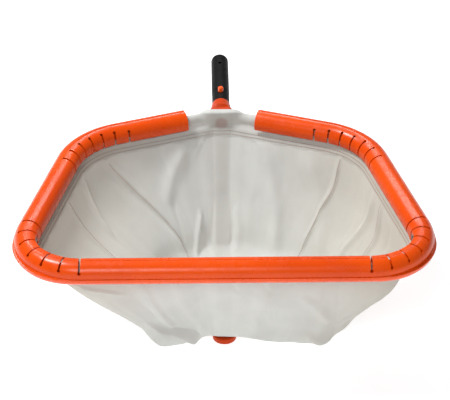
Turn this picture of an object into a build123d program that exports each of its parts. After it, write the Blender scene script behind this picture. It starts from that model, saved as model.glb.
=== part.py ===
"""Bagged leaf skimmer net: a bent tube loop with a sewn mesh bag, a press-on edge channel,
a support arm under the bag and a handle that locks into a telescopic pole.

The net lies mouth up. +Y runs from the front rail to the handle, +X is to the right, +Z is up.
The origin is at the middle of the whole net's footprint, on the surface that it stands on.
Lengths are in millimetres.
"""

import os
from math import atan2, cos, degrees, radians, sin

from build123d import *

# Mouth loop, measured along the middle of the tube
OVERALL_LENGTH = 616.5
RAIL_HEIGHT = 184.0
FRONT_HALF_WIDTH = 300.0
REAR_HALF_WIDTH = 222.0
REAR_CORNER_REACH = 337.0
APEX_REACH = 418.0
FRONT_CORNER_RADIUS = 80.0
REAR_CORNER_RADIUS = 110.0

# Section of the rail
TUBE_RADIUS = 6.4
TUBE_WALL = 1.5
HEM_THICKNESS = 1.1
JAW_WALL = 2.0
WEB_START = -7.0
WEB_END = 7.0
CLIP_BORE = 15.4
CLIP_WALL = 2.6
MOUTH_START = 205.0
MOUTH_END = 245.0
LIP_HEIGHT = 1.5
LIP_START = -14.0
LIP_END = -4.0
GROOVE_DEPTH = 0.6
GROOVE_START = 86.0
GROOVE_END = 91.0
ARC_STEP = 10.0
OVERCUT = 1.0

# Slots that let the edge channel bend
SLOTS_PER_CORNER = 7
SLOT_PITCH = 24.0
SLOT_WIDTH = 3.0
SLOT_HOLE_RADIUS = 2.4
REAR_SLOT_STARTS = (145.0, 92.0)
FRONT_SLOT_STARTS = (62.0, 25.0)
LOWER_SLOT_END = 290.0
CLIP_END_X = 58.0
HEM_END_X = 26.0
FLAP_HALF_ANGLE = 4.0

# Lower flange of the edge channel, which turns the front corners more tightly
SKIRT_RADIUS = 72.0
SKIRT_START = -55.0
SKIRT_END = -8.0
SKIRT_RUN = 101.0
SKIRT_DEPTH = 3.0

# Inner edge of the channel, which is cut back where it turns the front corners
TRIM_INSET = 18.2
TRIM_SHARE = 0.7
TRIM_RADIUS = 46.0

# Bag
BAG_INSET = 19.5
BAG_WALL = 1.3
SEAM_GAP = 0.8
FLOOR_GAP = 2.4
BAG_TOP_DROP = 15.0
BAG_FLOOR_HEIGHT = 8.0
BAG_FLOOR_SHARE = 0.58
BAG_AXIS_REACH = 148.0
FRONT_CHAMFER = 47.0
REAR_CHAMFER = 26.0

# Socket and its fasteners; every reach is a distance behind the front rail
TUBE_END_X = 8.0
SOCKET_FRONT = 400.0
SOCKET_SHOULDER = 418.0
SOCKET_END = 422.0
SOCKET_WIDTH = 38.0
SOCKET_HEIGHT = 26.0
SOCKET_ROUND = 8.0
NECK_RADIUS = 12.5
SPIGOT_END = 461.0
SPIGOT_BORE = 8.0
RIVET_X = 14.0
RIVET_REACH = 412.0
RIVET_RADIUS = 1.6
RIVET_HEAD = 1.2
RIVET_BITE = 10.0
SCREW_REACHES = (405.5, 414.5)
SCREW_RADIUS = 2.0
SCREW_BITE = 10.0
SCREW_HEAD = 3.0
SCREW_HEAD_RADIUS = 3.6
SCREW_HEAD_DROP = 6.0
CROSS_PIN_REACH = 452.5
CROSS_PIN_RADIUS = 2.5
CROSS_PIN_LENGTH = 27.5

# Support arm
ARM_WIDTH = 20.0
ARM_THICKNESS = 7.0
ARM_PAD = 6.0
ARM_TOP_REACH = 411.0
ARM_HEEL_REACH = 300.0
ARM_HEEL_RADIUS = 25.0
TONGUE_WIDTH = 35.0
TONGUE_REACH = 64.0
TONGUE_RIM = 3.0
TONGUE_DISH = 1.2

# Handle
COLLAR_RADIUS = 17.5
COLLAR_STEP = 0.5
COLLAR_END = 443.5
HANDLE_RADIUS = 14.25
HANDLE_BORE = 11.2
HANDLE_END = 590.0
RELIEF_END = 480.0
RELIEF_DEPTH = 0.25
PLUG_DOME = 7.0
PLUG_LAND = 0.5
PLUG_DEPTH = 9.0
PLUG_WALL = 2.0
POLE_HOLE_REACH = 563.0
POLE_HOLE_RADIUS = 3.1
RECESS_DEPTH = 1.2
RECESS_HALF_WIDTH = 6.2
RECESS_HALF_LENGTH = 8.5

# Snap lock
BUTTON_REACH = 470.0
BUTTON_RADIUS = 4.4
BUTTON_CLEARANCE = 0.1
BUTTON_STAND = 6.5
BUTTON_ROUND = 2.4
BUTTON_FLANGE = 0.8
BUTTON_FLANGE_RADIUS = 5.2
SPRING_WIDTH = 7.0
SPRING_GAUGE = 0.8
SPRING_LEG_HEIGHT = 8.6
SPRING_BEND_REACH = 534.0
SPRING_BEND_HALF = 2.8
SPRING_TIP = 6.0
SPRING_FLAT = 8.0
SPRING_KNEE_RADIUS = 6.0
SPRING_BEND_RADIUS = 2.0
SEAT_START = 526.0
SEAT_LENGTH = 16.0
SEAT_SLOT = 11.0
SEAT_CLEARANCE = 0.4

JAW_BORE = TUBE_RADIUS + HEM_THICKNESS
CLIP_RADIUS = CLIP_BORE + CLIP_WALL
RAIL_Y = -OVERALL_LENGTH / 2 + CLIP_RADIUS + LIP_HEIGHT
SOCKET_BOTTOM = RAIL_HEIGHT - SOCKET_HEIGHT / 2

FRONT_CORNER = Vector(FRONT_HALF_WIDTH, RAIL_Y, RAIL_HEIGHT)
REAR_CORNER = Vector(REAR_HALF_WIDTH, RAIL_Y + REAR_CORNER_REACH, RAIL_HEIGHT)
APEX = Vector(0, RAIL_Y + APEX_REACH, RAIL_HEIGHT)
REAR_RAIL = (REAR_CORNER - APEX).normalized()


def mirrored(point):
    return Vector(-point.X, point.Y, point.Z)


def on_rear_rail(x):
    """The point of the right rear rail's centreline that is x from the middle."""
    return APEX + REAR_RAIL * (x / REAR_RAIL.X)


def loop_path(end_x, front_radius=FRONT_CORNER_RADIUS):
    """The centreline from the right rear rail, round the front, to the left rear rail."""
    right = [on_rear_rail(end_x), REAR_CORNER, FRONT_CORNER]
    left = [mirrored(point) for point in reversed(right)]
    radii = [REAR_CORNER_RADIUS, front_radius, front_radius, REAR_CORNER_RADIUS]
    with BuildLine() as path:
        FilletPolyline(*right, *left, radius=radii)
    return path.wire()


def section_plane(path, share=0.0):
    """The plane across the path, with +X pointing into the loop and +Y up."""
    tangent = path.tangent_at(share)
    return Plane(origin=path.position_at(share), x_dir=tangent.cross(Vector(0, 0, 1)), z_dir=-tangent)


def sector(start, end, inner, outer, mode=Mode.ADD):
    """A slice of a ring, its angles in degrees from the outward side up and over the top."""
    steps = max(2, round((end - start) / ARC_STEP) + 1)
    angles = [radians(start + (end - start) * i / (steps - 1)) for i in range(steps)]
    rim = [(-outer * cos(a), outer * sin(a)) for a in angles]
    root = [(-inner * cos(a), inner * sin(a)) for a in reversed(angles)]
    return Polygon(*rim, *root, align=None, mode=mode)


def export(part, name):
    part.label = name
    export_step(part, f"parts/{name}.step")


# ---------------------------------------------------------------- mouth frame


def make_frame_tube():
    path = loop_path(TUBE_END_X)
    with BuildPart() as frame_tube:
        with BuildSketch(section_plane(path)):
            Circle(TUBE_RADIUS)
            Circle(TUBE_RADIUS - TUBE_WALL, mode=Mode.SUBTRACT)
        sweep(path=path)
        with Locations(*rivet_places()):
            Cylinder(RIVET_RADIUS, 3 * RAIL_HEIGHT, mode=Mode.SUBTRACT)
    export(frame_tube.part, "frame_tube")


def make_hem_sleeve():
    """The bag's hem: a sleeve round the tube and the flap that leaves the channel's mouth."""
    path = loop_path(HEM_END_X)
    middle = (MOUTH_START + MOUTH_END) / 2
    with BuildPart() as hem_sleeve:
        with BuildSketch(section_plane(path)):
            Circle(JAW_BORE)
            Circle(TUBE_RADIUS, mode=Mode.SUBTRACT)
            sector(
                middle - FLAP_HALF_ANGLE,
                middle + FLAP_HALF_ANGLE,
                TUBE_RADIUS + HEM_THICKNESS / 2,
                CLIP_RADIUS + OVERCUT,
            )
        sweep(path=path)
    export(hem_sleeve.part, "hem_sleeve")


def slot_places(path):
    """For each slot, its share of the path and the angle at which it starts."""
    # The channel rolls on the tube as it bends, so the slots start lower at the sides.
    starts = [REAR_SLOT_STARTS, FRONT_SLOT_STARTS, FRONT_SLOT_STARTS[::-1], REAR_SLOT_STARTS[::-1]]
    arcs = [edge for edge in path.order_edges() if edge.geom_type == GeomType.CIRCLE]
    places = []
    for arc, (first, last) in zip(arcs, starts):
        middle = path.param_at_point(arc.position_at(0.5))
        for i in range(SLOTS_PER_CORNER):
            step = i - (SLOTS_PER_CORNER - 1) / 2
            start = first + (last - first) * i / (SLOTS_PER_CORNER - 1)
            places.append((middle + step * SLOT_PITCH / path.length, start))
    return places


def make_snap_clip():
    """The edge channel: a C section with a lip outside, slotted at the corners."""
    path = loop_path(CLIP_END_X)
    with BuildPart() as snap_clip:
        with BuildSketch(section_plane(path)):
            Circle(CLIP_RADIUS)
            sector(LIP_START, LIP_END, CLIP_BORE, CLIP_RADIUS + LIP_HEIGHT)
            sector(
                GROOVE_START,
                GROOVE_END,
                CLIP_RADIUS - GROOVE_DEPTH,
                CLIP_RADIUS + OVERCUT,
                mode=Mode.SUBTRACT,
            )
        sweep(path=path)
        for side in (-1, 1):
            corner = Vector(side * FRONT_CORNER.X, FRONT_CORNER.Y, RAIL_HEIGHT)
            rear = Vector(side * REAR_CORNER.X, REAR_CORNER.Y, RAIL_HEIGHT)
            beside = corner + (rear - corner).normalized() * SKIRT_RUN
            ahead = corner - Vector(side * SKIRT_RUN, 0, 0)
            ends = (beside, corner, ahead) if side > 0 else (ahead, corner, beside)
            with BuildLine() as skirt_line:
                FilletPolyline(*ends, radius=SKIRT_RADIUS)
            skirt_path = skirt_line.wire()
            with BuildSketch(section_plane(skirt_path)):
                sector(SKIRT_START, SKIRT_END, CLIP_RADIUS - SKIRT_DEPTH, CLIP_RADIUS)
            sweep(path=skirt_path)
        with BuildSketch(section_plane(path)):
            Circle(CLIP_BORE)
            Circle(JAW_BORE + JAW_WALL, mode=Mode.SUBTRACT)
            sector(WEB_START, WEB_END, JAW_BORE, CLIP_BORE + OVERCUT, mode=Mode.SUBTRACT)
            Circle(JAW_BORE)
            sector(MOUTH_START, MOUTH_END, JAW_BORE - OVERCUT, CLIP_RADIUS + 2 * OVERCUT)
        sweep(path=path, mode=Mode.SUBTRACT)
        side = FRONT_CORNER + (REAR_CORNER - FRONT_CORNER) * TRIM_SHARE
        outline = [FRONT_CORNER, side, mirrored(side), mirrored(FRONT_CORNER)]
        with BuildSketch(Plane.XY.offset(RAIL_HEIGHT - CLIP_RADIUS - OVERCUT)) as trim:
            Polygon(*[(point.X, point.Y) for point in outline], align=None)
            offset(amount=-TRIM_INSET, kind=Kind.INTERSECTION)
            fillet(trim.vertices().group_by(Axis.Y)[0], TRIM_RADIUS)
        extrude(amount=2 * (CLIP_RADIUS + OVERCUT), mode=Mode.SUBTRACT)
        for share, start in slot_places(path):
            across = section_plane(path, share)
            with BuildSketch(across.offset(-SLOT_WIDTH / 2)):
                sector(start, MOUTH_START + 2, JAW_BORE - OVERCUT, CLIP_RADIUS + 2 * OVERCUT)
                sector(MOUTH_END - 2, LOWER_SLOT_END, JAW_BORE - OVERCUT, CLIP_RADIUS + 2 * OVERCUT)
            extrude(amount=SLOT_WIDTH, mode=Mode.SUBTRACT)
            outward = across.y_dir * sin(radians(start)) - across.x_dir * cos(radians(start))
            with Locations(Plane(origin=across.origin + outward * CLIP_RADIUS, z_dir=outward)):
                Cylinder(SLOT_HOLE_RADIUS, 4 * CLIP_WALL, mode=Mode.SUBTRACT)
    export(snap_clip.part, "snap_clip")


# ------------------------------------------------------------------------ bag


def mouth_corners():
    """The corners of the bag's outline at the mouth, from the middle of the front round by +X."""
    loop = [FRONT_CORNER, REAR_CORNER, APEX, mirrored(REAR_CORNER), mirrored(FRONT_CORNER)]
    with BuildSketch() as outline:
        Polygon(*[(p.X, p.Y) for p in loop], align=None)
        offset(amount=-BAG_INSET, kind=Kind.INTERSECTION)
        chamfer(outline.vertices().sort_by(Axis.Y)[:2], FRONT_CHAMFER)
        chamfer(outline.vertices().sort_by(Axis.Y)[-3:-1], REAR_CHAMFER)
    axis_y = RAIL_Y + BAG_AXIS_REACH
    return sorted(outline.vertices(), key=lambda v: degrees(atan2(v.X, axis_y - v.Y)) % 360)


def make_bag():
    """Flat panels that meet edge to edge: nine walls that slope in to a smaller floor."""
    top = RAIL_HEIGHT - BAG_TOP_DROP
    axis_y = RAIL_Y + BAG_AXIS_REACH
    rim = [Vector(v.X, v.Y, top) for v in mouth_corners()]
    foot = [
        Vector(BAG_FLOOR_SHARE * p.X, axis_y + BAG_FLOOR_SHARE * (p.Y - axis_y), BAG_FLOOR_HEIGHT)
        for p in rim
    ]
    names = [
        "bag_front_panel",
        "bag_right_front_gusset",
        "bag_right_panel",
        "bag_right_rear_gusset",
        "bag_right_rear_panel",
        "bag_left_rear_panel",
        "bag_left_rear_gusset",
        "bag_left_panel",
        "bag_left_front_gusset",
    ]
    for i, name in enumerate(names):
        quad = [foot[i - 1], foot[i], rim[i], rim[i - 1]]
        across = quad[1] - quad[0]
        inward = (quad[3] - quad[0]).cross(across)
        panel_plane = Plane(origin=quad[0], x_dir=across, z_dir=inward)
        local = [panel_plane.to_local_coords(point) for point in quad]
        with BuildPart() as panel:
            with BuildSketch(panel_plane):
                Polygon(*[(p.X, p.Y) for p in local], align=None)
                offset(amount=-SEAM_GAP, kind=Kind.INTERSECTION)
            extrude(amount=BAG_WALL)
        export(panel.part, name)
    with BuildPart() as bag_floor:
        with BuildSketch(Plane.XY.offset(BAG_FLOOR_HEIGHT)):
            Polygon(*[(p.X, p.Y) for p in foot], align=None)
            offset(amount=-FLOOR_GAP, kind=Kind.INTERSECTION)
        extrude(amount=BAG_WALL)
    export(bag_floor.part, "bag_floor")


# --------------------------------------------------------------------- socket


def handle_plane(reach):
    """The plane across the handle's axis, reach behind the front rail, facing the handle's end."""
    return Plane(origin=(0, RAIL_Y + reach, RAIL_HEIGHT), x_dir=(-1, 0, 0), z_dir=(0, 1, 0))


def screw_places():
    return [Location((0, RAIL_Y + reach, RAIL_HEIGHT)) for reach in SCREW_REACHES]


def rivet_places():
    return [Location((side * RIVET_X, RAIL_Y + RIVET_REACH, 0)) for side in (-1, 1)]


def socket_shell(name, keep):
    """Half of the socket, which is split level with the tube that it grips."""
    with BuildPart() as shell:
        with BuildSketch(handle_plane(SOCKET_FRONT)):
            RectangleRounded(SOCKET_WIDTH, SOCKET_HEIGHT, SOCKET_ROUND)
        extrude(amount=SOCKET_SHOULDER - SOCKET_FRONT)
        with BuildSketch(handle_plane(SOCKET_SHOULDER)):
            RectangleRounded(SOCKET_WIDTH, SOCKET_HEIGHT, SOCKET_ROUND)
        with BuildSketch(handle_plane(SOCKET_END)):
            Circle(COLLAR_RADIUS)
        loft()
        with BuildSketch(handle_plane(SOCKET_END)):
            Circle(NECK_RADIUS)
        extrude(amount=COLLAR_END - SOCKET_END)
        with BuildSketch(handle_plane(COLLAR_END)):
            Circle(HANDLE_BORE)
        extrude(amount=SPIGOT_END - COLLAR_END)
        with BuildSketch(handle_plane(SPIGOT_END)):
            Circle(SPIGOT_BORE)
        extrude(amount=-(SPIGOT_END - SOCKET_END), mode=Mode.SUBTRACT)
        for direction in (REAR_RAIL, mirrored(REAR_RAIL)):
            start = APEX + direction * (TUBE_END_X / REAR_RAIL.X)
            with BuildSketch(Plane(origin=start, z_dir=direction)):
                Circle(TUBE_RADIUS)
            extrude(amount=2 * SOCKET_WIDTH, mode=Mode.SUBTRACT)
        with Locations(*rivet_places()):
            Cylinder(RIVET_RADIUS, 2 * (RAIL_HEIGHT + RIVET_BITE), mode=Mode.SUBTRACT)
        with Locations(*screw_places()):
            Cylinder(SCREW_RADIUS, 2 * SCREW_BITE, mode=Mode.SUBTRACT)
        with Locations(*screw_places()):
            with Locations((0, 0, -SCREW_HEAD_DROP)):
                Cylinder(
                    SCREW_HEAD_RADIUS,
                    SOCKET_HEIGHT,
                    align=(Align.CENTER, Align.CENTER, Align.MAX),
                    mode=Mode.SUBTRACT,
                )
        with Locations(Location((0, RAIL_Y + CROSS_PIN_REACH, RAIL_HEIGHT), (0, 90, 0))):
            Cylinder(CROSS_PIN_RADIUS, 3 * HANDLE_RADIUS, mode=Mode.SUBTRACT)
        split(bisect_by=Plane.XY.offset(RAIL_HEIGHT), keep=keep)
    export(shell.part, name)


def make_socket_fasteners():
    low = SOCKET_BOTTOM - ARM_PAD
    with BuildPart() as frame_rivets:
        with Locations(*rivet_places()):
            with Locations((0, 0, low - RIVET_HEAD)):
                Cylinder(
                    RIVET_RADIUS,
                    RAIL_HEIGHT + RIVET_BITE - low + RIVET_HEAD,
                    align=(Align.CENTER, Align.CENTER, Align.MIN),
                )
            with Locations((0, 0, low - RIVET_HEAD / 2)):
                Cylinder(2 * RIVET_RADIUS, RIVET_HEAD)
    export(frame_rivets.part, "frame_rivets")

    with BuildPart() as socket_screws:
        with Locations(*screw_places()):
            with Locations((0, 0, -SCREW_HEAD_DROP)):
                Cylinder(
                    SCREW_RADIUS,
                    SCREW_HEAD_DROP + SCREW_BITE,
                    align=(Align.CENTER, Align.CENTER, Align.MIN),
                )
                Cylinder(
                    SCREW_HEAD_RADIUS,
                    SCREW_HEAD,
                    align=(Align.CENTER, Align.CENTER, Align.MAX),
                )
        with Locations(*screw_places()):
            with Locations((0, 0, -SCREW_HEAD_DROP - SCREW_HEAD)):
                Box(SCREW_HEAD_RADIUS, SCREW_HEAD / 3, SCREW_HEAD, mode=Mode.SUBTRACT)
                Box(SCREW_HEAD / 3, SCREW_HEAD_RADIUS, SCREW_HEAD, mode=Mode.SUBTRACT)
    export(socket_screws.part, "socket_screws")


def make_support_arm():
    """The arm under the bag: a riveted pad, a strap that follows the bag and a rounded tongue."""
    floor_line = ARM_THICKNESS / 2
    pad_bottom = SOCKET_BOTTOM - ARM_PAD
    with BuildPart() as support_arm:
        with BuildSketch(Plane.XY.offset(pad_bottom)):
            with Locations((0, RAIL_Y + (SOCKET_FRONT + SOCKET_SHOULDER) / 2)):
                RectangleRounded(SOCKET_WIDTH, SOCKET_SHOULDER - SOCKET_FRONT, SOCKET_ROUND / 2)
        extrude(amount=ARM_PAD)
        with BuildLine() as strap_line:
            FilletPolyline(
                (0, RAIL_Y + ARM_TOP_REACH, pad_bottom),
                (0, RAIL_Y + ARM_HEEL_REACH, floor_line),
                (0, RAIL_Y + TONGUE_REACH + TONGUE_WIDTH, floor_line),
                radius=ARM_HEEL_RADIUS,
            )
        strap_path = strap_line.wire()
        tangent = strap_path.tangent_at(0)
        with BuildSketch(Plane(origin=strap_path.position_at(0), x_dir=(1, 0, 0), z_dir=tangent)):
            RectangleRounded(ARM_WIDTH, ARM_THICKNESS, ARM_THICKNESS / 3)
        sweep(path=strap_path)
        with BuildSketch() as tongue:
            with Locations((0, RAIL_Y + TONGUE_REACH + TONGUE_WIDTH / 2)):
                Circle(TONGUE_WIDTH / 2)
                Rectangle(TONGUE_WIDTH, TONGUE_WIDTH, align=(Align.CENTER, Align.MIN))
        extrude(amount=ARM_THICKNESS)
        with BuildSketch(Plane.XY.offset(ARM_THICKNESS)):
            add(tongue.sketch)
            offset(amount=-TONGUE_RIM)
        extrude(amount=-TONGUE_DISH, mode=Mode.SUBTRACT)
        with Locations(*rivet_places()):
            Cylinder(RIVET_RADIUS, 3 * RAIL_HEIGHT, mode=Mode.SUBTRACT)
    export(support_arm.part, "support_arm")


# --------------------------------------------------------------------- handle


def make_handle_collar():
    with BuildPart() as handle_collar:
        with BuildSketch(handle_plane(SOCKET_END)):
            Circle(COLLAR_RADIUS)
        with BuildSketch(handle_plane(COLLAR_END)):
            Circle(HANDLE_RADIUS + COLLAR_STEP)
        loft()
        with BuildSketch(handle_plane(SOCKET_END)):
            Circle(NECK_RADIUS)
        extrude(amount=COLLAR_END - SOCKET_END, mode=Mode.SUBTRACT)
    export(handle_collar.part, "handle_collar")


def make_handle_sleeve():
    """The sleeve, slightly slimmer round the buttons so that only its long land fits the pole."""
    button_hole = BUTTON_RADIUS + BUTTON_CLEARANCE
    with BuildPart() as handle_sleeve:
        with BuildSketch(handle_plane(COLLAR_END)):
            Circle(HANDLE_RADIUS - RELIEF_DEPTH)
        extrude(amount=RELIEF_END - COLLAR_END)
        with BuildSketch(handle_plane(RELIEF_END)):
            Circle(HANDLE_RADIUS)
        extrude(amount=HANDLE_END - RELIEF_END)
        with BuildSketch(handle_plane(COLLAR_END)):
            Circle(HANDLE_BORE)
        extrude(amount=HANDLE_END - COLLAR_END, mode=Mode.SUBTRACT)
        with Locations((0, RAIL_Y + BUTTON_REACH, RAIL_HEIGHT)):
            Cylinder(button_hole, 4 * HANDLE_RADIUS, mode=Mode.SUBTRACT)
        with Locations((0, RAIL_Y + POLE_HOLE_REACH, RAIL_HEIGHT)):
            Cylinder(POLE_HOLE_RADIUS, 4 * HANDLE_RADIUS, mode=Mode.SUBTRACT)
        for side in (-1, 1):
            with BuildSketch(Plane.XY.offset(RAIL_HEIGHT + side * (HANDLE_RADIUS - RECESS_DEPTH))):
                with Locations((0, RAIL_Y + BUTTON_REACH)):
                    Ellipse(RECESS_HALF_WIDTH, RECESS_HALF_LENGTH)
            extrude(amount=side * HANDLE_RADIUS, mode=Mode.SUBTRACT)
        with Locations(Location((0, RAIL_Y + CROSS_PIN_REACH, RAIL_HEIGHT), (0, 90, 0))):
            Cylinder(CROSS_PIN_RADIUS, 3 * HANDLE_RADIUS, mode=Mode.SUBTRACT)
    export(handle_sleeve.part, "handle_sleeve")


def make_handle_end_plug():
    with BuildPart() as handle_end_plug:
        with BuildSketch(handle_plane(HANDLE_END)):
            Circle(HANDLE_RADIUS)
        extrude(amount=PLUG_DOME)
        fillet(handle_end_plug.edges().sort_by(Axis.Y)[-1], PLUG_DOME - PLUG_LAND)
        with BuildSketch(handle_plane(HANDLE_END)):
            Circle(HANDLE_BORE)
            Circle(HANDLE_BORE - PLUG_WALL, mode=Mode.SUBTRACT)
        extrude(amount=-PLUG_DEPTH)
    export(handle_end_plug.part, "handle_end_plug")


def make_cross_pin():
    with BuildPart() as handle_cross_pin:
        with Locations(Location((0, RAIL_Y + CROSS_PIN_REACH, RAIL_HEIGHT), (0, 90, 0))):
            Cylinder(CROSS_PIN_RADIUS, CROSS_PIN_LENGTH)
    export(handle_cross_pin.part, "handle_cross_pin")


def make_lock_spring():
    """A V spring: two legs that hold the buttons out, joined by a bend in the spring seat."""
    leg = SPRING_LEG_HEIGHT - SPRING_GAUGE / 2
    tip, knee = BUTTON_REACH - SPRING_TIP, BUTTON_REACH + SPRING_FLAT
    half = [(tip, leg), (knee, leg), (SPRING_BEND_REACH, SPRING_BEND_HALF)]
    route = half + [(reach, -height) for reach, height in reversed(half)]
    with BuildPart() as lock_spring:
        with BuildLine() as spring_line:
            FilletPolyline(
                *[(0, RAIL_Y + reach, RAIL_HEIGHT + height) for reach, height in route],
                radius=[SPRING_KNEE_RADIUS, SPRING_BEND_RADIUS, SPRING_BEND_RADIUS, SPRING_KNEE_RADIUS],
            )
        spring_path = spring_line.wire()
        start = Plane(spring_path.position_at(0), x_dir=(1, 0, 0), z_dir=spring_path.tangent_at(0))
        with BuildSketch(start):
            Rectangle(SPRING_WIDTH, SPRING_GAUGE)
        sweep(path=spring_path)
    export(lock_spring.part, "lock_spring")


def make_spring_seat():
    with BuildPart() as spring_seat:
        with BuildSketch(handle_plane(SEAT_START)):
            Circle(HANDLE_BORE)
        extrude(amount=SEAT_LENGTH)
        with BuildSketch(handle_plane(SEAT_START)):
            Rectangle(SPRING_WIDTH + SEAT_CLEARANCE, SEAT_SLOT)
        extrude(amount=SPRING_BEND_REACH + SPRING_GAUGE / 2 - SEAT_START, mode=Mode.SUBTRACT)
    export(spring_seat.part, "spring_seat")


def make_lock_button(name, side):
    """A lock button, standing out of the sleeve above (side 1) or below (side -1)."""
    base = Plane(
        origin=(0, RAIL_Y + BUTTON_REACH, RAIL_HEIGHT + side * SPRING_LEG_HEIGHT),
        z_dir=(0, 0, side),
    )
    with BuildPart() as button:
        with BuildSketch(base):
            Circle(BUTTON_RADIUS)
        extrude(amount=HANDLE_RADIUS + BUTTON_STAND - SPRING_LEG_HEIGHT)
        fillet(button.edges().sort_by(Axis.Z)[-1 if side > 0 else 0], BUTTON_ROUND)
        with BuildSketch(base):
            Circle(BUTTON_FLANGE_RADIUS)
        extrude(amount=BUTTON_FLANGE)
    export(button.part, name)


if __name__ == "__main__":
    os.makedirs("parts", exist_ok=True)
    make_frame_tube()
    make_hem_sleeve()
    make_snap_clip()
    make_bag()
    socket_shell("socket_upper_shell", Keep.TOP)
    socket_shell("socket_lower_shell", Keep.BOTTOM)
    make_socket_fasteners()
    make_support_arm()
    make_handle_collar()
    make_handle_sleeve()
    make_handle_end_plug()
    make_cross_pin()
    make_lock_spring()
    make_spring_seat()
    make_lock_button("upper_lock_button", 1)
    make_lock_button("lower_lock_button", -1)
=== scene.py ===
"""Leaf skimmer net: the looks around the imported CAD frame, in metres and in the CAD's own axes."""

import math

import bpy
import numpy as np
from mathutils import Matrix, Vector


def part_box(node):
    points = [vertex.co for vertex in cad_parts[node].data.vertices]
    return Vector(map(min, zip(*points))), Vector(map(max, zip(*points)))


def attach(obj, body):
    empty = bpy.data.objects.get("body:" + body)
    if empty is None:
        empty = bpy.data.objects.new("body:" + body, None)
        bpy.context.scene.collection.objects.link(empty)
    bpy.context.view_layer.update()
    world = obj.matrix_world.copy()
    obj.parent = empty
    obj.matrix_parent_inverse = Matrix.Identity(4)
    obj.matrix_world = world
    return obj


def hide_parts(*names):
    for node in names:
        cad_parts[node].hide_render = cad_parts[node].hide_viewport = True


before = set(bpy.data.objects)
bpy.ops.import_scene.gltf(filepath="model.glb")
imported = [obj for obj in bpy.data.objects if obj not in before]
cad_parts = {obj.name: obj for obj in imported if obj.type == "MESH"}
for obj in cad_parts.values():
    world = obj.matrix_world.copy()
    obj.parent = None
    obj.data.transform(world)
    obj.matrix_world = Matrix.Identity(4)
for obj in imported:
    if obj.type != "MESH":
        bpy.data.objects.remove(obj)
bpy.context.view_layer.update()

# The mouth loop, along the middle of the tube
TUBE_RADIUS = 0.0064
RAIL_Z = (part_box("frame_tube")[0].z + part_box("frame_tube")[1].z) / 2
RAIL_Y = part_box("frame_tube")[0].y + TUBE_RADIUS
FRONT_CORNER = np.array((0.300, RAIL_Y))
REAR_CORNER = np.array((0.222, RAIL_Y + 0.337))
APEX = np.array((0.0, RAIL_Y + 0.418))
FRONT_CORNER_RADIUS = 0.080
REAR_CORNER_RADIUS = 0.110
APEX_RADIUS = 0.060
CLIP_END_X = 0.058
SOCKET_LOW, SOCKET_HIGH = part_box("socket_upper_shell")
SOCKET_FACE_Y = SOCKET_LOW.y
SOCKET_HALF_WIDTH = SOCKET_HIGH.x
SOCKET_TOP = 0.013

# The hem, wrapped round the tube and drawn over the front of the socket
HEM_RADIUS = 0.0082
HEM_START = math.radians(-40)
HEM_END = math.radians(225)
HEM_POINTS = 16
HEM_STEP = 0.002
HEM_OVERLAP = 0.0115
APRON_TOP_POINTS = 4
APRON_GAP = 0.0014
APRON_LIFT = 0.0009
APRON_FOOT = -0.55
APRON_SPREAD = 0.034

# The bag: its mouth and floor, and how far its left side is drawn in and its right side let out
MOUTH_DROP = 0.0125
BAG_FLOOR_Z = 0.0094
BAG_FLOOR_SHARE = 0.62
BAG_SAG_Z = 0.0022
BAG_AXIS = np.array((0.0, RAIL_Y + 0.148))
BAG_MEAN_RADIUS = 0.25
BAG_KNEE_RADIUS = 0.026
BAG_RINGS = 96
RING_STEP = 8
MOUTH_COUNT = RING_STEP * BAG_RINGS
LEFT_DRAW = 0.32
RIGHT_DRAW = -0.10
# How far the foot of the front wall lies in front of its plain line, from left to right
FOOT_AT = (-0.17, -0.096, -0.061, -0.038, -0.010, 0.060, 0.121, 0.138, 0.160)
FOOT_AHEAD = (0.004, 0.014, 0.006, -0.008, -0.002, 0.002, 0.006, 0.010, -0.004)
AROUND = 1.62
DEPTH = 0.33
BELLY = 0.004
HEM_BAND = 0.014
WEAVE_PITCH = 0.0011
SEED = 7
SMALL_FOLDS = 130
FOLD_FADE = 0.25

# How the bag hangs: shares of the way down, and widths in metres over which each change sets in
HELD_FROM, HELD_OVER = 0.012, 0.05
BELLY_END = 0.5
ARM_CLEAR, ARM_CLEAR_OVER, ARM_SAG_OVER = 0.016, 0.04, 0.05
DRAW_END, DRAW_BEND, RIGHT_DRAW_END, DRAW_OVER = 0.56, 1.6, 0.25, 0.05
FRONT_OVER = 0.06
FLAT_FROM, FLAT_OVER = 0.45, 0.10
FLOOR_FOLD_SHARE = 0.4
FLOOR_FOLD_LOW, FLOOR_FOLD_HIGH = -0.002, 0.004
FLOOR_FROM = 0.4

# Stitches: share along the thread and how thick it is there, then pitch, thickness and lift of each kind
STITCH_PROFILE = ((0.0, 0.45), (0.2, 0.9), (0.5, 1.0), (0.8, 0.9), (1.0, 0.45))
STITCH_SIDES = 5
STITCH_SHARE = 0.74
HEM_STITCH = (0.0042, 0.0007, 0.0009)
SEAM_STITCH = (0.0038, 0.0006, 0.0003)
HEM_ROWS = (HEM_BAND - 0.0035, HEM_BAND - 0.0085)
SEAM_START = 0.05

# The turned-in edge of the hem: its rows and columns, how far it stands off the bag, and its uneven edge
BAND_START = 0.004
BAND_ROWS = 6
BAND_COLUMNS = 480
BAND_LIFT = 0.0005
BAND_WAVES = ((0.0012, 37), (0.0008, 91))

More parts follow.
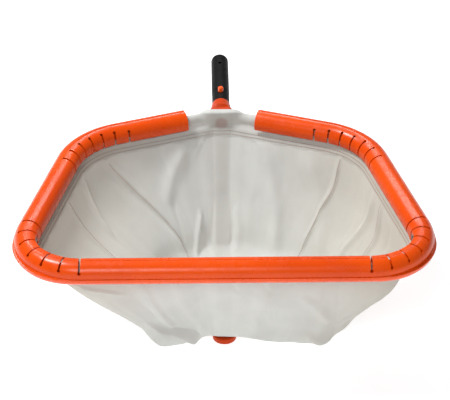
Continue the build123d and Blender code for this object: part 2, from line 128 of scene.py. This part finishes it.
# Folds of the bag: from and to, as shares round the mouth and down, then height inwards and width
FOLDS = [
    (((0.872, 0.02), (0.913, 0.58)), 0.0046, 0.0042),
    (((0.862, 0.02), (0.900, 0.50)), -0.0040, 0.0080),
    (((0.783, 0.00), (0.765, 0.36)), 0.0034, 0.0034),
    (((0.835, 0.00), (0.797, 0.32)), 0.0056, 0.0060),
    (((0.964, 0.04), (0.908, 0.34)), 0.0056, 0.0120),
    (((0.967, 0.36), (0.926, 0.58)), 0.0056, 0.0070),
    (((0.040, 0.00), (0.089, 0.60)), 0.0064, 0.0130),
    (((0.084, 0.02), (0.160, 0.54)), 0.0072, 0.0150),
    (((0.012, 0.06), (0.027, 0.62)), 0.0040, 0.0100),
    (((0.131, 0.00), (0.118, 0.55)), 0.0034, 0.0040),
    (((0.225, 0.00), (0.237, 0.40)), 0.0040, 0.0048),
    (((0.205, 0.02), (0.190, 0.50)), 0.0048, 0.0090),
    (((0.650, 0.10), (0.600, 0.16)), -0.0034, 0.0030),
    (((0.625, 0.36), (0.550, 0.58)), -0.0096, 0.0080),
    (((0.600, 0.38), (0.545, 0.54)), 0.0046, 0.0040),
    (((0.535, 0.50), (0.465, 0.26)), -0.0040, 0.0040),
    (((0.430, 0.16), (0.370, 0.42)), -0.0048, 0.0080),
    (((0.500, 0.05), (0.440, 0.50)), 0.0040, 0.0100),
    (((0.575, 0.05), (0.590, 0.48)), -0.0040, 0.0090),
    (((0.400, 0.48), (0.340, 0.56)), -0.0064, 0.0060),
    (((0.004, -0.05), (0.030, 0.12)), 0.0016, 0.0030),
    (((0.994, -0.05), (0.965, 0.14)), 0.0016, 0.0030),
    (((0.018, -0.04), (0.050, 0.10)), 0.0018, 0.0040),
]

# The folds that are seams of the bag, and carry a row of stitches
SEAM_FOLDS = (FOLDS[0], FOLDS[2], FOLDS[9], FOLDS[10])

# The front face of the support arm's strap: where it would meet the ground, and its run per height
ARM_HEEL_Y = RAIL_Y + 0.2905
ARM_SLOPE = 0.687
ARM_HALF_WIDTH = 0.0105
# The bag comes away from the strap beside it, over this width and by this much
ARM_OVER = 0.022
ARM_AWAY = 0.03
ARM_SINK = 0.001

# Where the mesh lies on the socket and shows its colour: how far below the rail, from full to none
CONTACT_DROP = 0.005
CONTACT_FULL, CONTACT_NONE = 0.007, 0.013
CONTACT_SHARE = 0.34

# The view
VIEW_TARGET = Vector((0.0, RAIL_Y + 0.172, RAIL_Z))
VIEW_DISTANCE = 2.2
VIEW_ELEVATION = math.radians(34)
VIEW_AZIMUTH = math.radians(-0.9)
VIEW_LENS = 120.0
VIEW_SHIFT = 0.0033
SENSOR_WIDTH = 36.0
FLOOR_REACH = 9


# ---------------------------------------------------------------- shader helpers


class Shader:
    """A material and short ways to add and join its nodes."""

    def __init__(self, name):
        self.material = bpy.data.materials.new(name)
        self.material.use_nodes = True
        self.tree = self.material.node_tree
        self.surface = self.tree.nodes["Principled BSDF"]
        self.output = self.tree.nodes["Material Output"]

    def add(self, kind, inputs=(), **settings):
        node = self.tree.nodes.new("ShaderNode" + kind)
        for key, value in settings.items():
            setattr(node, key, value)
        for key, value in dict(inputs).items():
            self.put(node.inputs[key], value)
        return node

    def put(self, socket, value):
        if isinstance(value, bpy.types.NodeSocket):
            self.tree.links.new(value, socket)
        else:
            socket.default_value = value

    def set(self, **values):
        for key, value in values.items():
            self.put(self.surface.inputs[key.replace("_", " ")], value)

    def place(self, scale=1.0, source="Object"):
        """Texture coordinates in the row frame, in metres times scale."""
        coordinates = self.add("TexCoord")
        size = scale if isinstance(scale, tuple) else (scale, scale, scale)
        return self.add("Mapping", {"Vector": coordinates.outputs[source], "Scale": size}).outputs[0]

    def noise(self, scale, detail=3.0, rough=0.55, at=None):
        node = self.add("TexNoise", {"Scale": scale, "Detail": detail, "Roughness": rough})
        self.put(node.inputs["Vector"], at or self.place())
        return node.outputs["Fac"]

    def math(self, operation, a, b=0.5, clamp=False):
        node = self.add("Math", operation=operation, use_clamp=clamp)
        self.put(node.inputs[0], a)
        self.put(node.inputs[1], b)
        return node.outputs[0]

    def span(self, value, low, high, to_low=0.0, to_high=1.0):
        node = self.add("MapRange", {"From Min": low, "From Max": high, "To Min": to_low, "To Max": to_high})
        self.put(node.inputs["Value"], value)
        return node.outputs[0]

    def mix(self, share, a, b):
        node = self.add("Mix", data_type="RGBA")
        self.put(node.inputs["Factor"], share)
        self.put(node.inputs["A"], a)
        self.put(node.inputs["B"], b)
        return node.outputs["Result"]

    def bump(self, height, strength, distance, normal=None):
        node = self.add("Bump", {"Strength": strength, "Distance": distance, "Height": height})
        if normal is not None:
            self.put(node.inputs["Normal"], normal)
        return node.outputs[0]

    def edges(self, radius, low=0.02, high=0.10):
        """1 on sharp outer edges and 0 elsewhere."""
        bevel = self.add("Bevel", {"Radius": radius}, samples=4)
        geometry = self.add("NewGeometry")
        both = {0: bevel.outputs[0], 1: geometry.outputs["Normal"]}
        bent = self.add("VectorMath", both, operation="DOT_PRODUCT")
        return self.span(self.math("SUBTRACT", 1.0, bent.outputs["Value"]), low, high)


def plastic(name, colour, deep, pale, rough, grain_scale, grain, shine):
    """Moulded plastic: flow marks in the colour, fine grain, scuffs and paler worn edges."""
    shader = Shader(name)
    flow = shader.span(shader.noise(9.0, 4.0, at=shader.place((1.0, 1.0, 2.5))), 0.35, 0.65)
    specks = shader.span(shader.noise(900.0, 2.0), 0.60, 0.72)
    body = shader.mix(flow, deep, colour)
    worn = shader.math("MULTIPLY", shader.edges(0.0009), shader.noise(160.0, 4.0), clamp=True)
    body = shader.mix(shader.math("MULTIPLY", specks, 0.18), body, pale)
    body = shader.mix(shader.math("MULTIPLY", worn, 0.55), body, pale)
    scuffs = shader.span(shader.noise(45.0, 6.0, 0.7), 0.50, 0.74, rough, min(1.0, rough + 0.16))
    fine = shader.bump(shader.noise(grain_scale, 2.0), grain, 0.0003)
    uneven = shader.bump(shader.noise(26.0, 2.0), 0.16, 0.0016, fine)
    shader.set(Base_Color=body, Roughness=scuffs, Normal=uneven, IOR=1.49, Specular_IOR_Level=shine)
    return shader.material


def brushed_metal(name, colour, rough, stretch):
    """Metal with fine draw lines and a few dull patches."""
    shader = Shader(name)
    lines = shader.noise(60.0, 5.0, 0.7, shader.place(stretch))
    dull = shader.span(shader.noise(70.0, 5.0), 0.45, 0.7, rough, rough + 0.2)
    tone = shader.mix(shader.span(lines, 0.3, 0.7), tuple(0.8 * c for c in colour[:3]) + (1,), colour)
    shader.set(Base_Color=tone, Metallic=1.0, Roughness=dull, Normal=shader.bump(lines, 0.25, 0.0002))
    return shader.material


def woven_mesh(name):
    """Fine polyester mesh: two sets of threads with small open holes, lit from both sides."""
    shader = Shader(name)
    at = shader.place(1.0 / WEAVE_PITCH, "UV")
    across = shader.add("SeparateXYZ", {"Vector": at})
    ridges = []
    for axis in ("X", "Y"):
        wave = shader.math("SINE", shader.math("MULTIPLY", across.outputs[axis], 2 * math.pi))
        ridges.append(shader.span(wave, -1.0, 1.0))
    thread = shader.math("MAXIMUM", ridges[0], ridges[1])
    hole = shader.span(thread, 0.20, 0.42, 1.0, 0.0)
    soft = shader.noise(14.0, 4.0)
    tone = shader.mix(shader.span(soft, 0.35, 0.65), (0.60, 0.61, 0.575, 1), (0.68, 0.695, 0.66, 1))
    # Painted sheen: brighter streaks running down the walls, standing in for folds that catch the light
    drawn = shader.place((30.0, 3.5, 1.0), "UV")
    sheen_streak_noise = shader.add("TexNoise", {"Vector": drawn, "Scale": 1.0, "Detail": 5.0})
    painted_sheen_streak = shader.span(sheen_streak_noise.outputs["Fac"], 0.45, 0.72)
    tone = shader.mix(shader.math("MULTIPLY", painted_sheen_streak, 0.35), tone, (0.82, 0.835, 0.80, 1))
    # Painted shade: the walls turn darker and warmer with distance from the middle, towards the left and
    # right sides
    sideways = shader.math("ABSOLUTE", shader.add("SeparateXYZ", {"Vector": shader.place()}).outputs["X"])
    painted_side_shade = shader.math("MULTIPLY", shader.span(sideways, 0.09, 0.24), 0.95)
    tone = shader.mix(painted_side_shade, tone, (0.56, 0.52, 0.44, 1))
    grime = shader.span(shader.noise(5.0, 5.0, 0.65), 0.52, 0.80)
    tone = shader.mix(shader.math("MULTIPLY", grime, 0.35), tone, (0.60, 0.57, 0.48, 1))
    tone = shader.mix(shader.math("MULTIPLY", thread, 0.22), tone, (0.88, 0.88, 0.85, 1))
    relief = shader.bump(thread, 0.35, 0.0003)
    relief = shader.bump(shader.noise(55.0, 4.0, 0.6), 0.18, 0.002, relief)
    front = shader.add("BsdfDiffuse", {"Color": tone, "Roughness": 0.6, "Normal": relief})
    through = shader.add("BsdfTranslucent", {"Color": tone, "Normal": relief})
    sheen = shader.add("BsdfGlossy", {"Color": (0.9, 0.9, 0.9, 1), "Roughness": 0.55, "Normal": relief})
    clear = shader.add("BsdfTransparent")
    lit = shader.add("MixShader", {0: 0.11, 1: front.outputs[0], 2: through.outputs[0]})
    lit = shader.add("MixShader", {0: 0.035, 1: lit.outputs[0], 2: sheen.outputs[0]})
    # Where the mesh is pulled flat against the socket, the socket's colour shows through it
    contact = (0.0, SOCKET_FACE_Y, RAIL_Z - CONTACT_DROP)
    gap = shader.add("VectorMath", {0: shader.place(), 1: contact}, operation="DISTANCE").outputs["Value"]
    near = shader.span(gap, CONTACT_FULL, CONTACT_NONE, 1.0, 0.0)
    pressed = shader.math("MULTIPLY", near, CONTACT_SHARE)
    open_share = shader.math("ADD", shader.math("MULTIPLY", hole, 0.09), pressed)
    cloth = shader.add("MixShader", {0: open_share, 1: lit.outputs[0], 2: clear.outputs[0]})
    shader.tree.links.new(cloth.outputs[0], shader.output.inputs["Surface"])
    shader.tree.nodes.remove(shader.surface)
    return shader.material


def sewing_thread(name, colour):
    """Twisted thread."""
    shader = Shader(name)
    twist = shader.noise(1800.0, 2.0)
    body = shader.mix(shader.span(twist, 0.3, 0.7), tuple(0.6 * c for c in colour[:3]) + (1,), colour)
    shader.set(Base_Color=body, Roughness=0.7, Sheen_Weight=0.3, Normal=shader.bump(twist, 0.5, 0.0002))
    return shader.material


# ---------------------------------------------------------------- outlines and grids


def rounded(points, radii, step=0.002, closed=True):
    """Points along the polygon with each corner turned by an arc of its own radius."""
    count = len(points)
    line = []
    for i, (corner, radius) in enumerate(zip(points, radii)):
        if not closed and i in (0, count - 1):
            line.append(corner)
            continue
        back = points[i - 1] - corner
        ahead = points[(i + 1) % count] - corner
        back, ahead = back / np.linalg.norm(back), ahead / np.linalg.norm(ahead)
        half = math.acos(float(np.clip(back @ ahead, -1, 1))) / 2
        reach = radius / math.tan(half)
        middle = back + ahead
        centre = corner + middle / np.linalg.norm(middle) * radius / math.sin(half)
        first, last = corner + back * reach - centre, corner + ahead * reach - centre
        turn = math.pi - 2 * half
        side = math.copysign(1, first[0] * last[1] - first[1] * last[0])
        steps = max(3, math.ceil(radius * turn / step))
        for k in range(steps + 1):
            a = side * turn * k / steps
            spin = np.array(((math.cos(a), -math.sin(a)), (math.sin(a), math.cos(a))))
            line.append(centre + spin @ first)
    return np.array(line)


def along(line, shares, closed=True):
    """Points of the line at these shares of its length, and the line's length."""
    loop = np.vstack((line, line[:1])) if closed else line
    gone = np.concatenate(([0], np.cumsum(np.linalg.norm(np.diff(loop, axis=0), axis=1))))
    at = np.asarray(shares) * gone[-1]
    return np.stack([np.interp(at, gone, loop[:, k]) for k in range(loop.shape[1])], axis=1), gone[-1]


def loop_line():
    """The mouth loop along the tube, from the apex round by +X."""
    corners = [REAR_CORNER, FRONT_CORNER]
    radii = [REAR_CORNER_RADIUS, FRONT_CORNER_RADIUS]
    points = [APEX, *corners, *[corner * (-1, 1) for corner in reversed(corners)]]
    line = rounded(points, [APEX_RADIUS, *radii, *reversed(radii)])
    middle = int(np.argmin(np.abs(line[: len(line) // 4, 0])))
    return np.roll(line, -middle, axis=0)


def loop_frame(turn):
    """Points of the loop at these shares of its length, and the directions into the loop there."""
    line = loop_line()
    here, _ = along(line, turn)
    ahead = along(line, (turn + 0.001) % 1)[0] - along(line, (turn - 0.001) % 1)[0]
    inward = np.stack((ahead[:, 1], -ahead[:, 0]), axis=1)
    return here, inward / np.linalg.norm(inward, axis=1)[:, None]


def at_socket(here):
    """Whether each point of the loop is in or beside the socket."""
    return (np.abs(here[:, 0]) < CLIP_END_X) & (here[:, 1] > 0)


def hem_profile(here):
    """How the hem runs at each point of the loop: steps of (inward, up) from the tube's middle."""
    turns = np.linspace(HEM_START, HEM_END, HEM_POINTS)
    tube = np.stack((-HEM_RADIUS * np.cos(turns), HEM_RADIUS * np.sin(turns)), axis=1)
    face = here[:, 1] - SOCKET_FACE_Y + APRON_GAP
    rise = np.linspace(1, APRON_FOOT, HEM_POINTS - APRON_TOP_POINTS) * SOCKET_TOP
    over = np.linspace(-HEM_OVERLAP, 0, APRON_TOP_POINTS, endpoint=False)
    inward = np.concatenate((over, np.zeros(HEM_POINTS - APRON_TOP_POINTS)))
    up = np.concatenate((np.full(APRON_TOP_POINTS, SOCKET_TOP + APRON_LIFT), rise))
    ups = np.broadcast_to(up, (len(here), HEM_POINTS))
    socket = np.stack((face[:, None] + inward[None, :], ups), axis=2)
    beside = smoothstep((np.abs(here[:, 0]) - SOCKET_HALF_WIDTH) / APRON_SPREAD)
    onto = np.where(at_socket(here), beside, 1)
    return onto[:, None, None] * tube[None] + (1 - onto)[:, None, None] * socket


def ring_counts():
    """How many vertices each ring of the bag has, from the mouth to the middle of the floor."""
    return [max(1, RING_STEP * ring) for ring in range(BAG_RINGS, -1, -1)]


def bag_rings():
    """For each vertex: its place, its share round the mouth and its share of the way down."""
    turn = np.arange(MOUTH_COUNT) / MOUTH_COUNT
    here, inward = loop_frame(turn)
    hem = hem_profile(here)
    exits = np.where(at_socket(here), np.maximum(MOUTH_DROP, hem[:, -1, 0]), MOUTH_DROP)
    mouth = here + inward * exits[:, None]
    top = RAIL_Z - MOUTH_DROP
    radius = BAG_MEAN_RADIUS
    profile = rounded(
        [np.array(p) for p in ((radius, top), (BAG_FLOOR_SHARE * radius, BAG_FLOOR_Z), (0, BAG_FLOOR_Z))],
        [0, BAG_KNEE_RADIUS, 0],
        closed=False,
    )
    shares = np.arange(BAG_RINGS + 1) / BAG_RINGS
    steps, depth = along(profile, shares, closed=False)
    places, rounds, downs = [], [], []
    for k in range(HEM_POINTS):
        flat = here + inward * hem[:, k, :1]
        places.append(np.column_stack((flat, RAIL_Z + hem[:, k, 1])))
        rounds.append(turn)
        downs.append(np.full(MOUTH_COUNT, (k - HEM_POINTS) * HEM_STEP / depth))
    for step, count in enumerate(ring_counts()):
        turn = np.arange(count) / count
        outline, _ = along(mouth, turn)
        share = steps[step, 0] / radius
        flat = BAG_AXIS + share * (outline - BAG_AXIS)
        places.append(np.column_stack((flat, np.full(count, steps[step, 1]))))
        rounds.append(turn)
        downs.append(np.full(count, shares[step]))
    return np.vstack(places), np.concatenate(rounds), np.concatenate(downs)


def bag_faces():
    """Faces between neighbouring rings, each with RING_STEP vertices fewer than the one outside it."""
    faces = []
    for k in range(HEM_POINTS):
        for j in range(MOUTH_COUNT):
            a, b = k * MOUTH_COUNT + j, k * MOUTH_COUNT + (j + 1) % MOUTH_COUNT
            faces.append((a, b, b + MOUTH_COUNT, a + MOUTH_COUNT))
    counts = ring_counts()
    starts = HEM_POINTS * MOUTH_COUNT + np.cumsum([0] + counts)
    for step in range(BAG_RINGS):
        ring = BAG_RINGS - step
        outer, inner = counts[step], counts[step + 1]
        for k in range(RING_STEP):
            for j in range(ring):
                a = starts[step] + (k * ring + j) % outer
                b = starts[step] + (k * ring + j + 1) % outer
                c = starts[step + 1] + (k * (ring - 1) + j) % inner
                d = starts[step + 1] + (k * (ring - 1) + j - 1) % inner
                if j == 0:
                    faces.append((a, b, c))
                elif j == ring - 1:
                    faces.append((a, b, c, d) if ring > 1 else (a, b, c))
                else:
                    faces.append((a, b, c, d))
    return faces


def make_mesh(name, vertices, faces, material):
    mesh = bpy.data.meshes.new(name)
    mesh.from_pydata([tuple(v) for v in vertices], [], [tuple(int(i) for i in f) for f in faces])
    mesh.validate()
    obj = bpy.data.objects.new(name, mesh)
    bpy.context.scene.collection.objects.link(obj)
    mesh.materials.append(material)
    mesh.shade_smooth()
    return obj


def smoothstep(x):
    x = np.clip(x, 0, 1)
    return x * x * (3 - 2 * x)


# ---------------------------------------------------------------- stage


def make_camera():
    data = bpy.data.cameras.new("camera")
    data.lens, data.sensor_width, data.shift_x = VIEW_LENS, SENSOR_WIDTH, VIEW_SHIFT
    camera = bpy.data.objects.new("camera", data)
    flat = math.cos(VIEW_ELEVATION)
    back = Vector((math.sin(VIEW_AZIMUTH) * flat, -math.cos(VIEW_AZIMUTH) * flat, math.sin(VIEW_ELEVATION)))
    camera.location = VIEW_TARGET + VIEW_DISTANCE * back
    camera.rotation_euler = (-back).to_track_quat("-Z", "Y").to_euler()
    bpy.context.scene.collection.objects.link(camera)
    bpy.context.scene.camera = camera


def softbox(name, place, size, power):
    data = bpy.data.lights.new(name, "AREA")
    data.shape = "RECTANGLE"
    data.size, data.size_y = size
    data.energy = power
    light = bpy.data.objects.new(name, data)
    light.location = place
    light.rotation_euler = (VIEW_TARGET - Vector(place)).to_track_quat("-Z", "Y").to_euler()
    bpy.context.scene.collection.objects.link(light)


def make_lights():
    softbox("key", (-1.1, 0.3, 2.3), (0.5, 0.5), 51)
    softbox("front", (-0.5, -2.1, 2.1), (1.0, 0.8), 24)
    softbox("back_strip", (-0.2, 2.0, 2.1), (2.4, 0.12), 30)
    softbox("low_strip", (0.0, -2.4, 0.30), (2.6, 0.06), 3)
    world = bpy.data.worlds.new("studio")
    world.use_nodes = True
    world.node_tree.nodes["Background"].inputs["Color"].default_value = (0.9, 0.94, 1.0, 1)
    world.node_tree.nodes["Background"].inputs["Strength"].default_value = 0.16
    bpy.context.scene.world = world
    bpy.context.scene.view_settings.view_transform = "Standard"


def make_floor():
    shader = Shader("floor_paper")
    tone = shader.mix(shader.noise(3.0), (0.62, 0.62, 0.63, 1), (0.66, 0.66, 0.67, 1))
    shader.set(Base_Color=tone, Roughness=0.9, Normal=shader.bump(shader.noise(400.0), 0.05, 0.0004))
    shader.set(Emission_Color=(1, 1, 1, 1), Emission_Strength=0.68)
    corners = [(x * FLOOR_REACH, y * FLOOR_REACH, 0) for x, y in ((-1, -1), (1, -1), (1, 1), (-1, 1))]
    floor = make_mesh("floor", corners, [(0, 1, 2, 3)], shader.material)


# ---------------------------------------------------------------- bag


def fold(turn, down, ends, height, width):
    """A soft ridge along a line between two points (share round, share down); it fades at its ends."""
    (u0, v0), (u1, v1) = ends
    lean = ((u1 - u0 + 0.5) % 1.0 - 0.5) * AROUND
    axis = np.array((lean, (v1 - v0) * DEPTH))
    length = np.linalg.norm(axis)
    x, y = ((turn - u0 + 0.5) % 1.0 - 0.5) * AROUND, (down - v0) * DEPTH
    on = (x * axis[0] + y * axis[1]) / length**2
    off = (x * axis[1] - y * axis[0]) / length
    fade = smoothstep(on / FOLD_FADE) * smoothstep((1 - on) / FOLD_FADE)
    return height * fade * np.exp(-((off / width) ** 2))


def small_folds(turn, down):
    """Many faint creases that run mostly downwards, the same ones each time."""
    draw = np.random.default_rng(SEED)
    height = np.zeros(len(turn))
    for _ in range(SMALL_FOLDS):
        u, v = draw.random(), draw.uniform(0.02, 0.85)
        run, lean = draw.uniform(0.08, 0.30), draw.normal(0, 0.022)
        rise, width = draw.normal(0, 0.0009), draw.uniform(0.003, 0.010)
        height += fold(turn, down, ((u, v), (u + lean, v + run)), rise, width)
    return height


def crease(places, faces, turn, down):
    """The bag as it hangs: its folds, the belly of each panel and the corners that sag to the ground."""
    shape = bpy.data.meshes.new("bag_shape")
    shape.from_pydata([tuple(v) for v in places], [], [tuple(int(i) for i in f) for f in faces])
    normals = np.array([v.normal for v in shape.vertices])
    bpy.data.meshes.remove(shape)
    normals *= np.sign(np.sum(normals * (np.append(BAG_AXIS, RAIL_Z) - places), axis=1))[:, None]
    inward = small_folds(turn, down)
    for ends, height, width in FOLDS:
        inward += fold(turn, down, ends, height, width)
    held = smoothstep((down - HELD_FROM) / HELD_OVER)
    belly = BELLY * np.sin(np.pi * np.clip(down / BELLY_END, 0, 1)) ** 2
    clear = smoothstep((np.abs(places[:, 0]) - ARM_CLEAR) / ARM_CLEAR_OVER)
    push = held * (inward - belly)
    push = clear * push + (1 - clear) * np.maximum(push, 0)
    shaped = places + normals * push[:, None]
    # The bag hangs a little to the right: its left side is drawn in and its right side let out.
    lean = smoothstep(down / DRAW_END)
    right = RIGHT_DRAW * smoothstep(down / RIGHT_DRAW_END)
    draw = np.where(places[:, 0] < 0, LEFT_DRAW * lean**DRAW_BEND, right)
    shaped[:, 0] *= 1 - draw * smoothstep(np.abs(places[:, 0]) / DRAW_OVER)
    in_front = smoothstep((BAG_AXIS[1] - places[:, 1]) / FRONT_OVER)
    shaped[:, 1] -= np.interp(shaped[:, 0], FOOT_AT, FOOT_AHEAD) * in_front * lean
    flat_share = smoothstep((down - FLAT_FROM) / FLAT_OVER)
    aside = smoothstep((np.abs(places[:, 0]) - ARM_CLEAR) / ARM_SAG_OVER)
    shaped[:, 2] -= (BAG_FLOOR_Z - BAG_SAG_Z) * flat_share * aside
    rise = FLOOR_FOLD_SHARE * np.clip(inward, FLOOR_FOLD_LOW, FLOOR_FOLD_HIGH)
    shaped[:, 2] = np.maximum(shaped[:, 2], BAG_SAG_Z + rise * flat_share)
    # The support arm holds the bag up: it lies on the strap's front face and on the tongue.
    beside = smoothstep((np.abs(shaped[:, 0]) - ARM_HALF_WIDTH) / ARM_OVER)
    strap = ARM_HEEL_Y + shaped[:, 2] * ARM_SLOPE + ARM_AWAY * beside
    shaped[:, 1] = np.minimum(shaped[:, 1], strap)
    low = BAG_SAG_Z + (BAG_FLOOR_Z - ARM_SINK - BAG_SAG_Z) * (1 - beside)
    shaped[:, 2] = np.where(down > FLOOR_FROM, np.maximum(shaped[:, 2], low), shaped[:, 2])
    return shaped


class Surface:
    """Points anywhere on the finished bag, by share round the mouth and share of the way down."""

    def __init__(self, places):
        self.places = places
        self.counts = ring_counts()
        self.starts = HEM_POINTS * MOUTH_COUNT + np.cumsum([0] + self.counts)

    def ring(self, step, turn):
        count = self.counts[step]
        at = (turn % 1.0) * count
        low = math.floor(at)
        start = self.starts[step]
        a, b = self.places[start + low % count], self.places[start + (low + 1) % count]
        return a + (at - low) * (b - a)

    def point(self, turn, down):
        at = np.clip(down, 0, 0.999) * BAG_RINGS
        low = math.floor(at)
        a, b = self.ring(low, turn), self.ring(low + 1, turn)
        return a + (at - low) * (b - a)

    def inward(self, turn, down):
        across = self.point(turn + 0.002, down) - self.point(turn - 0.002, down)
        along_wall = self.point(turn, down + 0.01) - self.point(turn, down)
        normal = np.cross(across, along_wall)
        normal /= np.linalg.norm(normal)
        towards = np.append(BAG_AXIS, RAIL_Z) - self.point(turn, down)
        return normal * math.copysign(1, normal @ towards)


def weave_map(obj, turn, down):
    """UVs in metres: round and down the walls, so that the weave keeps its size."""
    layer = obj.data.uv_layers.new(name="weave")
    u, v = turn * AROUND, down * DEPTH
    for polygon in obj.data.polygons:
        round_trip = [u[i] for i in polygon.vertices]
        for loop, corner in zip(polygon.loop_indices, polygon.vertices):
            seam = AROUND if max(round_trip) - u[corner] > AROUND / 2 else 0.0
            layer.data[loop].uv = (u[corner] + seam, v[corner])


def make_bag():
    places, turn, down = bag_rings()
    faces = bag_faces()
    shaped = crease(places, faces, turn, down)
    bag = make_mesh("mesh_bag", shaped, faces, MESH)
    weave_map(bag, turn, down)
    return bag, Surface(shaped)


def make_hem_band(surface):
    """The turned-in edge of the mouth hem, a second layer inside the bag."""
    rows = np.linspace(BAND_START, HEM_BAND / DEPTH, BAND_ROWS)
    count = BAND_COLUMNS
    points, turns, downs = [], [], []
    for row in rows:
        for k in range(count):
            turn = k / count
            wave = sum(size * math.sin(times * turn * 2 * math.pi) for size, times in BAND_WAVES)
            down = row + (wave / DEPTH if row == rows[-1] else 0)
            points.append(surface.point(turn, down) + BAND_LIFT * surface.inward(turn, down))
            turns.append(turn)
            downs.append(down)
    faces = []
    for r in range(len(rows) - 1):
        for k in range(count):
            a, b = r * count + k, r * count + (k + 1) % count
            faces.append((a, b, b + count, a + count))
    band = make_mesh("mouth_hem_band", points, faces, MESH)
    weave_map(band, np.array(turns), np.array(downs))
    return band


def add_stitch(points, faces, start, end, up, thickness):
    """One stitch: a short thread, thick in the middle, sunk at both ends."""
    run = end - start
    side = np.cross(run / np.linalg.norm(run), up)
    sides = STITCH_SIDES
    first = len(points)
    for share, swell in STITCH_PROFILE:
        middle = start + share * run + up * thickness * (swell - 0.5)
        for k in range(sides):
            a = 2 * math.pi * k / sides
            points.append(middle + thickness * swell * 0.5 * (math.cos(a) * side + math.sin(a) * up))
    for ring in range(len(STITCH_PROFILE) - 1):
        for k in range(sides):
            a, b = first + sides * ring + k, first + sides * ring + (k + 1) % sides
            faces.append((a, b, b + sides, a + sides))
    last = first + sides * (len(STITCH_PROFILE) - 1)
    faces.append(tuple(first + k for k in reversed(range(sides))))
    faces.append(tuple(last + k for k in range(sides)))


def make_stitches(name, surface, routes, pitch, thickness, lift):
    """Rows of stitches along routes of (share round, share down)."""
    points, faces = [], []
    for (u0, v0), (u1, v1) in routes:
        length = math.hypot((u1 - u0) * AROUND, (v1 - v0) * DEPTH)
        count = round(length / pitch)
        for k in range(count):
            ends = []
            for share in (k / count, (k + STITCH_SHARE) / count):
                turn, down = u0 + share * (u1 - u0), v0 + share * (v1 - v0)
                up = surface.inward(turn, down)
                ends.append(surface.point(turn, down) + lift * up)
            add_stitch(points, faces, ends[0], ends[1], up, thickness)
    return make_mesh(name, points, faces, THREAD)


MESH = woven_mesh("polyester_mesh")
ORANGE = plastic(
    "channel_plastic",
    (0.88, 0.086, 0.002, 1),
    (0.76, 0.066, 0.001, 1),
    (0.92, 0.17, 0.02, 1),
    rough=0.25,
    grain_scale=700,
    grain=0.08,
    shine=0.32,
)
SOCKET = plastic(
    "socket_plastic",
    (0.60, 0.052, 0.004, 1),
    (0.52, 0.042, 0.003, 1),
    (0.75, 0.13, 0.03, 1),
    rough=0.40,
    grain_scale=900,
    grain=0.2,
    shine=0.15,
)
BLACK = plastic(
    "handle_plastic",
    (0.0050, 0.0044, 0.0042, 1),
    (0.0034, 0.0031, 0.0029, 1),
    (0.024, 0.022, 0.021, 1),
    rough=0.55,
    grain_scale=1100,
    grain=0.45,
    shine=0.12,
)
BUTTON = plastic(
    "button_plastic",
    (0.95, 0.11, 0.004, 1),
    (0.88, 0.09, 0.003, 1),
    (0.95, 0.25, 0.06, 1),
    rough=0.26,
    grain_scale=900,
    grain=0.10,
    shine=0.4,
)
TUBE = brushed_metal("drawn_aluminium", (0.78, 0.79, 0.80, 1), 0.30, (1, 12, 12))
THREAD = sewing_thread("stitching_thread", (0.42, 0.13, 0.07, 1))
STEEL = brushed_metal("stainless_steel", (0.62, 0.62, 0.60, 1), 0.24, (10, 1, 10))

NODE_MATERIALS = {
    "snap_clip": ORANGE,
    "frame_tube": TUBE,
    "socket_upper_shell": SOCKET,
    "socket_lower_shell": SOCKET,
    "support_arm": SOCKET,
    "handle_collar": SOCKET,
    "handle_sleeve": BLACK,
    "handle_end_plug": BLACK,
    "spring_seat": BLACK,
    "upper_lock_button": BUTTON,
    "lower_lock_button": BUTTON,
    "frame_rivets": STEEL,
    "socket_screws": STEEL,
    "handle_cross_pin": STEEL,
    "lock_spring": STEEL,
}

make_camera()
make_lights()
make_floor()
for node, material in NODE_MATERIALS.items():
    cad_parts[node].data.materials.clear()
    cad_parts[node].data.materials.append(material)

bag, surface = make_bag()
hem_band = make_hem_band(surface)
hem_rows = [((0.0, row / DEPTH), (1.0, row / DEPTH)) for row in HEM_ROWS]
hem_stitches = make_stitches("hem_stitches", surface, hem_rows, *HEM_STITCH)
seams = [((u0, v0 + SEAM_START), (u1, v1)) for ((u0, v0), (u1, v1)), _, _ in SEAM_FOLDS]
seam_stitches = make_stitches("seam_stitches", surface, seams, *SEAM_STITCH)
for piece in (bag, hem_band, hem_stitches, seam_stitches):
    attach(piece, "net")
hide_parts("hem_sleeve", *[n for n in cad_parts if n.startswith("bag_")])
